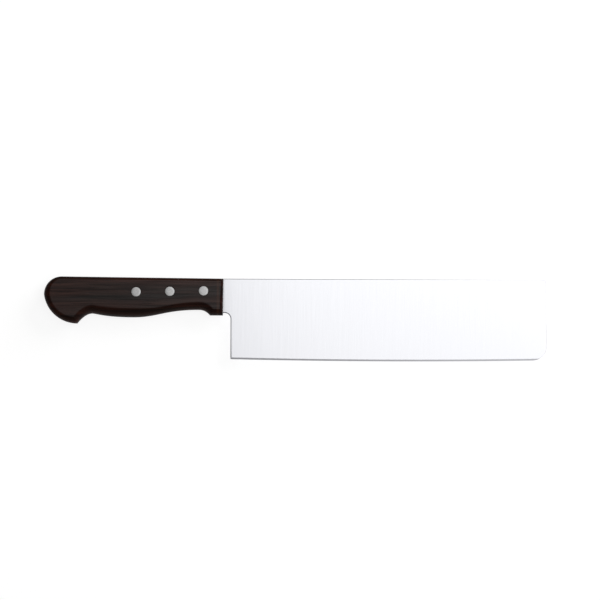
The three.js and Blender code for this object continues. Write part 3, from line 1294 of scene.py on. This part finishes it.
@dataclass
class Rivets:
    """The rivets' posts and sleeves, with heads that are ground flush with the scales."""

    handle: HandleShape
    shape: RivetShape
    top: float
    smooth_angle: float = math.radians(30)

    @property
    def seat(self) -> float:
        """The height of a head's underside above the middle of the steel."""
        return self.top - self.shape.head_thickness

    def headed(self, name: str, stem: Sequence[Pair], at: Vector) -> Object:
        """One half of a rivet, with an eased and slightly crowned head on top.

        Args:
            name: The half's name.
            stem: Radius and height of the rings below the head.
            at: A point on its axis, in the middle of the steel.

        Returns:
            The half.
        """
        shape = self.shape
        radius = shape.head_diameter / 2
        ease = shape.head_ease
        rounded = quarter_round(shape.ease_steps)
        head = [(radius - ease * share, self.top - ease * lower) for share, lower in rounded]
        crown = ((radius - ease) / 2, self.top + shape.crown)
        rims = [0.0] * len(stem) + [1.0] + rim_shares(shape.ease_steps + 1)
        return turned(name, [*stem, (radius, self.seat), *head, crown], rims, at, shape.facets)

    def post(self, at: Vector) -> Object:
        """The front rivet's solid half, which is driven in from the right side."""
        shank = self.shape.post_diameter / 2
        return self.headed("front_post", [(shank, self.shape.end_gap - self.seat), (shank, self.seat)], at)

    def sleeve(self, at: Vector) -> Object:
        """The front rivet's hollow half, as if it came from the right side too.

        Args:
            at: A point on its axis, in the middle of the steel.

        Returns:
            The half, still to be mirrored.
        """
        shank = self.shape.sleeve_diameter / 2
        bore = self.shape.post_diameter / 2 + self.shape.clearance
        end = self.shape.end_gap - self.seat
        return self.headed("sleeve", [(bore, self.seat), (bore, end), (shank, end), (shank, self.seat)], at)

    def build(self, metal: Material) -> list[Object]:
        """Make the rivets: one of each half, then its copies.

        Args:
            metal: Their material.

        Returns:
            All posts and sleeves.
        """
        origin = self.handle.origin()
        places = self.shape.places()
        post = self.post(origin + places[0])
        pattern = self.sleeve(origin + places[0])
        sleeve = mirrored(pattern, "front_sleeve", origin)
        bpy.data.objects.remove(pattern)
        made = []
        for half, first in (("post", post), ("sleeve", sleeve)):
            first.data.materials.append(metal)
            smooth(first, self.smooth_angle)
            for name, place in zip(self.shape.names, places):
                move = place - places[0]
                piece = first if name == self.shape.names[0] else copied(first, f"{name}_{half}", move)
                made.append(settle(piece, Slot.RIVET, f"{name}_rivet_{half}"))
        return made


# The studio


@dataclass
class Studio:
    """A pale floor, a broad softbox overhead, a fill light, a bright room and a camera straight above."""

    # Camera
    centre: Pair = (0.00334, 0.01454)
    roll: float = 0.00368
    lens: float = 200.0
    sensor: float = 36.0
    field_width: float = 0.455
    focus_height: float = 0.010
    # Floor: its glow rises to white over the distance of the fade
    floor_size: float = 30.0
    floor_drop: float = 0.00005
    floor_colour: Triple = (0.30, 0.30, 0.30)
    floor_glow: float = 0.86
    floor_bounce: float = 0.55
    floor_fade: Pair = (0.15, 1.5)
    # Softbox: its level along X, then the level at the front and back ends of its fade along Y
    box_low: Pair = (-0.70, -0.80)
    box_high: Pair = (0.50, 0.34)
    box_height: float = 0.9
    box_levels: tuple[Pair, ...] = (
        (-0.37, 0.0), (-0.30, 0.56), (-0.175, 0.39), (-0.095, 0.965),
        (-0.05, 1.02), (0.05, 1.075), (0.30, 1.13), (0.45, 1.60),
    )
    box_fade: Pair = (-0.24, 0.22)
    box_front_level: float = 0.84
    box_back_level: float = 1.14
    # The flag's border runs between these two points, and covers what is in front of it
    flag_start: Pair = (-0.10, -0.26)
    flag_end: Pair = (0.25, -0.75)
    flag_softness: float = 0.04
    # Fill light
    fill_size: float = 1.0
    fill_place: Triple = (0.86, 0.74, 0.50)
    fill_level: float = 4.4
    # Room: its level for dull surfaces, and for shiny ones by the height that they look to
    even_light: float = 0.12
    room_levels: tuple[Pair, ...] = (
        (0.0, 0.84), (0.10, 0.82), (0.30, 0.77), (0.45, 0.72),
        (0.65, 0.62), (0.80, 0.52), (0.90, 0.04),
    )
    room_swing: float = 0.15

    def add_camera(self) -> None:
        """Put the camera straight above the knife, with the photograph's slight roll."""
        distance = self.field_width * self.lens / self.sensor
        place = (*self.centre, self.focus_height + distance)
        bpy.ops.object.camera_add(location=place, rotation=(0, 0, self.roll))
        camera = bpy.context.object
        camera.data.lens = self.lens
        camera.data.sensor_width = self.sensor
        camera.data.clip_end = self.floor_size
        bpy.context.scene.camera = camera

    def add_floor(self) -> None:
        """Lay the floor: a pale, dull sheet that shows white and keeps the knife's shadow."""
        deselect_all()
        bpy.ops.mesh.primitive_plane_add(size=self.floor_size, location=(0, 0, -self.floor_drop))
        floor = bpy.context.object
        floor.name = "floor"
        material = bpy.data.materials.new("pale_floor")
        material.use_nodes = True
        graph = Graph(material.node_tree)
        path = graph.node("ShaderNodeLightPath").outputs
        seen = graph.math("MAXIMUM", path["Is Camera Ray"], path["Is Glossy Ray"])
        seen = graph.math("MAXIMUM", seen, path["Is Transmission Ray"])
        place = graph.node("ShaderNodeTexCoord").outputs["Object"]
        away = graph.node("ShaderNodeVectorMath", {0: place}, operation="LENGTH").outputs["Value"]
        white = graph.ranged(away, self.floor_glow, 1.0, self.floor_fade, Ease.SOFT)
        dull = graph.node("ShaderNodeBsdfDiffuse", {"Color": self.floor_colour})
        glow = graph.node("ShaderNodeEmission", {"Strength": graph.blended(seen, self.floor_bounce, white)})
        both = graph.node("ShaderNodeAddShader", {0: dull.outputs[0], 1: glow.outputs[0]})
        graph.node("ShaderNodeOutputMaterial", {"Surface": both.outputs[0]})
        material.cycles.emission_sampling = "NONE"
        floor.data.materials.append(material)

    @staticmethod
    def add_lamp(name: str, place: Sequence[float], size: Sequence[float], level: float) -> Object:
        """Hang a lamp that faces down and doesn't show itself.

        Args:
            name: The lamp's name.
            place: Where its middle is.
            size: Its length and width.
            level: How bright its face is.

        Returns:
            The lamp.
        """
        length, width = size
        bpy.ops.object.light_add(type="AREA", location=place)
        lamp = bpy.context.object
        lamp.name = name
        lamp.data.shape = "RECTANGLE"
        lamp.data.size = length
        lamp.data.size_y = width
        lamp.data.energy = level * math.pi * length * width
        lamp.visible_camera = False
        return lamp

    def softbox_level(self, graph: Graph) -> NodeSocket:
        """How bright the softbox is over its face: it fades to the butt and is flagged off at the front.

        Args:
            graph: The lamp's nodes.

        Returns:
            The level's socket.
        """
        low = Vector(self.box_low)
        size = Vector(self.box_high) - low
        place = graph.node("ShaderNodeNewGeometry").outputs["Parametric"]
        across = graph.node("ShaderNodeSeparateXYZ", {0: place}).outputs
        along = graph.ramp(across["X"], [((x - low.x) / size.x, level) for x, level in self.box_levels])
        limits = [(y - low.y) / size.y for y in self.box_fade]
        fade = graph.ranged(across["Y"], self.box_front_level, self.box_back_level, limits, Ease.SOFT)
        start, end = (Vector(corner) - low for corner in (self.flag_start, self.flag_end))
        border = graph.ranged(
            across["X"], start.y / size.y, end.y / size.y, (start.x / size.x, end.x / size.x)
        )
        inside = graph.math("SUBTRACT", across["Y"], border)
        shown = graph.ranged(inside, 0.0, 1.0, (-self.flag_softness, self.flag_softness), Ease.SOFT)
        return graph.math("MULTIPLY", graph.math("MULTIPLY", along, fade), shown)

    def add_softbox(self) -> None:
        """Hang the softbox over the knife."""
        low = Vector(self.box_low)
        high = Vector(self.box_high)
        lamp = self.add_lamp("softbox", (*(low + high) / 2, self.box_height), high - low, 1.0)
        lamp.data.use_nodes = True
        graph = Graph(lamp.data.node_tree)
        glow = graph.node("ShaderNodeEmission", {"Strength": self.softbox_level(graph)})
        graph.node("ShaderNodeOutputLight", {"Surface": glow.outputs[0]})

    def add_fill(self) -> None:
        """Hang the fill light: broad, from the back right, for dull surfaces only."""
        lamp = self.add_lamp("fill", self.fill_place, (self.fill_size, self.fill_size), self.fill_level)
        lamp.rotation_euler = (-Vector(self.fill_place)).to_track_quat("-Z", "Y").to_euler()
        lamp.visible_glossy = False

    def set_world(self) -> None:
        """Make the room: white to the camera, even to dull surfaces, and dim on the left to shiny ones."""
        world = bpy.data.worlds.new("studio")
        world.use_nodes = True
        graph = Graph(world.node_tree)
        path = graph.node("ShaderNodeLightPath").outputs
        direction = graph.node("ShaderNodeTexCoord").outputs["Generated"]
        axes = graph.node("ShaderNodeSeparateXYZ", {0: direction}).outputs
        walls = graph.ramp(axes["Z"], self.room_levels)
        swing = graph.ranged(axes["X"], 1 - self.room_swing, 1 + self.room_swing, (-1.0, 1.0))
        shiny = graph.math("MAXIMUM", path["Is Glossy Ray"], path["Is Transmission Ray"])
        level = graph.blended(shiny, self.even_light, graph.math("MULTIPLY", walls, swing))
        level = graph.blended(path["Is Camera Ray"], level, 1.0)
        shade = graph.node("ShaderNodeBackground", {"Color": (1, 1, 1), "Strength": level})
        graph.node("ShaderNodeOutputWorld", {"Surface": shade.outputs[0]})
        bpy.context.scene.world = world

    def build(self) -> None:
        """Set up the whole studio."""
        self.add_camera()
        self.add_floor()
        self.add_softbox()
        self.add_fill()
        self.set_world()
        bpy.context.scene.view_settings.view_transform = "Standard"
        LOG.info("studio: camera, floor, softbox, fill light and room")


FLANK = SteelFinish(
    name="polished_steel",
    colour=(0.90, 0.905, 0.94),
    shade=(0.62, 0.63, 0.66),
    roughness=0.20,
    roughness_spread=0.02,
    line_frequency=(1500.0, 30.0, 30.0),
    line_depth=0.000002,
)
HONED = SteelFinish(
    name="honed_edge",
    colour=(0.57, 0.57, 0.60),
    shade=(0.50, 0.50, 0.53),
    roughness=0.34,
    roughness_spread=0.08,
    line_frequency=(3200.0, 260.0, 260.0),
    line_depth=0.000006,
)
# Painted reflection: the dark base colour on the blade's eased outline edges stands in for the dark
# surroundings that they would reflect, and turns to the lighter shade at the wall.
SQUARED_WITH_PAINTED_REFLECTION = SteelFinish(
    name="squared_steel",
    colour=(0.15, 0.15, 0.17),
    shade=(0.58, 0.58, 0.61),
    roughness=0.32,
    roughness_spread=0.06,
    line_frequency=(60.0, 60.0, 2800.0),
    line_depth=0.000004,
    rim_band=RimBand(start=0.75, end=0.98, breakup=0.2),
)
RIVET_METAL = SteelFinish(
    name="rivet_metal",
    colour=(0.64, 0.64, 0.64),
    shade=(0.20, 0.19, 0.18),
    roughness=0.30,
    roughness_spread=0.06,
    line_frequency=(500.0, 1000.0, 1000.0),
    line_depth=0.000004,
    line_shade=0.25,
    # The heads turn darker towards their rims.
    rim_band=RimBand(start=0.25, end=0.9, breakup=0.2),
)
STEEL_FINISHES = {SteelFace.FLANK: FLANK, SteelFace.EDGE: HONED, SteelFace.OUTLINE: SQUARED_WITH_PAINTED_REFLECTION}
WOOD = WoodFinish()


def main() -> None:
    """Build the studio and the knife, and report each piece."""
    logging.basicConfig(level=logging.INFO, format="%(name)s: %(message)s")
    Studio().build()
    effects = SharedEffects()
    handle = HandleShape()
    rivet_shape = RivetShape()
    blade = Blade(handle, rivet_shape)
    scales = Scales(handle, rivet_shape, blade)
    rivets = Rivets(handle, rivet_shape, scales.top)
    pieces = [
        blade.build([STEEL_FINISHES[face].material(effects) for face in SteelFace]),
        *scales.build(WOOD.material(effects, handle.origin().x)),
        *rivets.build(RIVET_METAL.material(effects)),
    ]
    for piece in pieces:
        LOG.info("%s: %d faces", piece.name, len(piece.data.polygons))


if __name__ == "__main__":
    main()
